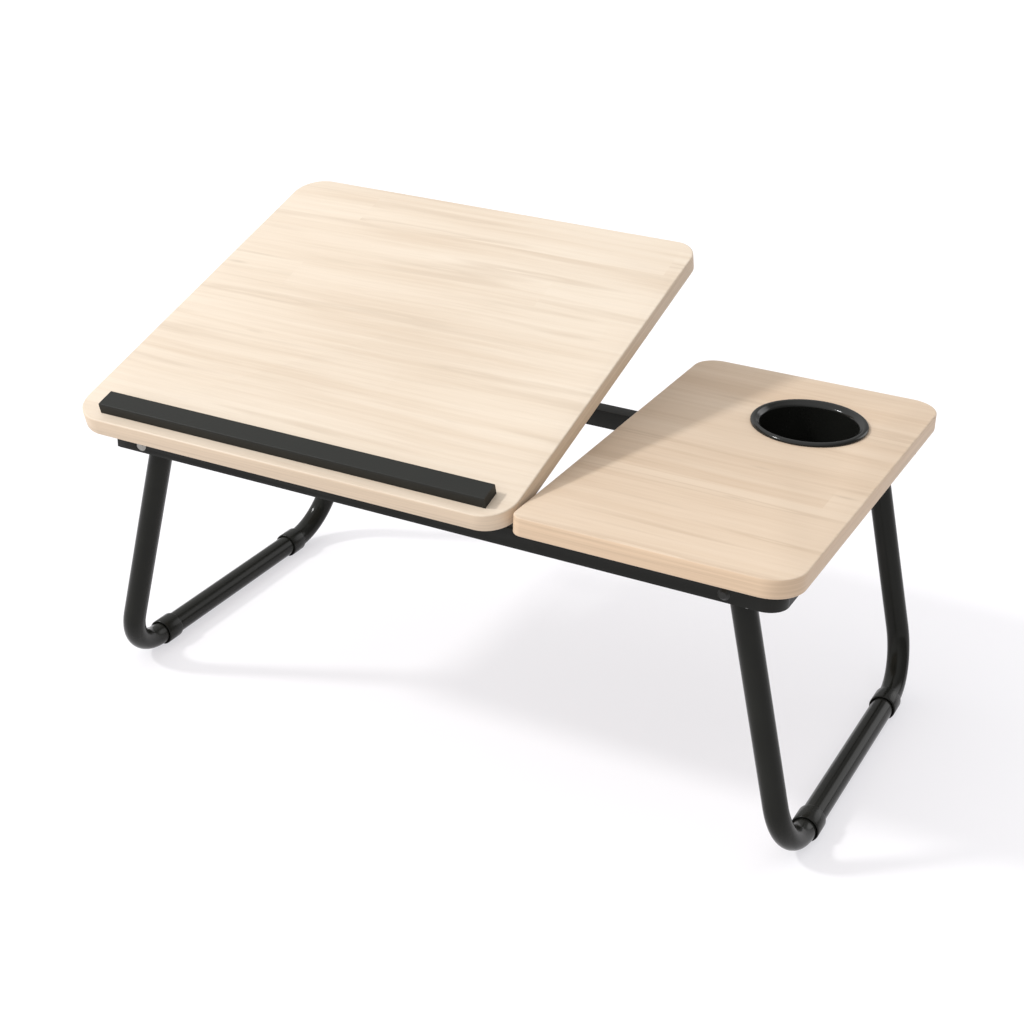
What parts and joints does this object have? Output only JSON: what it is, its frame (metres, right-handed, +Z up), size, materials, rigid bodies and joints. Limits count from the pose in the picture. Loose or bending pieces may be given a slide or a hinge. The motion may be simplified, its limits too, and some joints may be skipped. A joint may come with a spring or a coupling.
{
  "type": "folding tray table",
  "caption": "Low bed tray table: a tilting board with a book ledge beside a fixed board with a cup holder, on fold-in tube legs.",
  "frame": {"origin": "on the floor, under the middle of the open table's bounding box", "axes": "+X to the user's right along the table, +Y away from the user, +Z up"},
  "size_m": [0.6226, 0.3708, 0.3656],
  "materials": {
    "board": "pale wood-grain laminate, satin",
    "cup_plastic": "gloss",
    "ledge_plastic": "matte",
    "frame_paint": "semi-gloss powder coat",
    "leg_paint": "gloss",
    "wire_paint": "gloss",
    "nylon": "satin",
    "rubber": "matte",
    "dark_rivet": "black oxide",
    "steel": "zinc plated"
  },
  "bodies": {
    "table_frame": {"front_rail": "frame_paint", "right_rail": "frame_paint", "left_rail": "frame_paint", "rear_rail": "frame_paint", "mid_strap": "frame_paint", "rail_caps": "nylon", "left_pivot_bracket": "frame_paint", "right_pivot_bracket": "frame_paint", "right_stop_tab": "frame_paint", "left_front_rivet": "dark_rivet", "left_rear_rivet": "dark_rivet", "right_front_rivet": "dark_rivet", "right_rear_rivet": "dark_rivet", "leg_washers": "nylon", "fixed_board": "board", "fixed_board_screws": "steel", "fixed_board_spacers": "nylon", "cup_holder": "cup_plastic", "left_hinge_frame_leaf": "steel", "right_hinge_frame_leaf": "steel", "left_hinge_pin": "steel", "right_hinge_pin": "steel", "hinge_rivets": "steel", "left_rack": "nylon", "right_rack": "nylon", "rack_screws": "steel", "board_bumpers": "rubber", "leg_bumpers": "rubber"},
    "reading_board": {"tilting_board": "board", "book_ledge": "ledge_plastic", "ledge_screws": "steel", "left_hinge_board_leaf": "steel", "right_hinge_board_leaf": "steel", "hinge_board_screws": "steel", "left_stand_clip": "nylon", "right_stand_clip": "nylon", "stand_clip_screws": "steel"},
    "stand": {"tilt_stand": "wire_paint"},
    "left_leg": {"left_leg_tube": "leg_paint", "left_leg_plugs": "nylon", "left_front_foot": "rubber", "left_rear_foot": "rubber"},
    "right_leg": {"right_leg_tube": "leg_paint", "right_leg_plugs": "nylon", "right_front_foot": "rubber", "right_rear_foot": "rubber"}
  },
  "joints": [
    {"name": "tilt", "type": "hinge", "parent": "table_frame", "child": "reading_board", "pos_m": [-0.105, -0.16859, 0.2421], "axis": [1, 0, 0], "range_deg": [-17.5, 15.5]},
    {"name": "stand_swing", "type": "hinge", "parent": "reading_board", "child": "stand", "pos_m": [-0.1, -0.0179, 0.28961], "axis": [1, 0, 0], "range_deg": [-31, 35]},
    {"name": "left_leg_fold", "type": "hinge", "parent": "table_frame", "child": "left_leg", "pos_m": [-0.246, -0.00059, 0.233], "axis": [0, -1, 0], "range_deg": [0, 98.15]},
    {"name": "right_leg_fold", "type": "hinge", "parent": "table_frame", "child": "right_leg", "pos_m": [0.246, -0.00059, 0.233], "axis": [0, 1, 0], "range_deg": [0, 98.15]}
  ],
  "couplings": [
    {"joint": "stand_swing", "follows": "tilt", "ratio": -2}
  ]
}
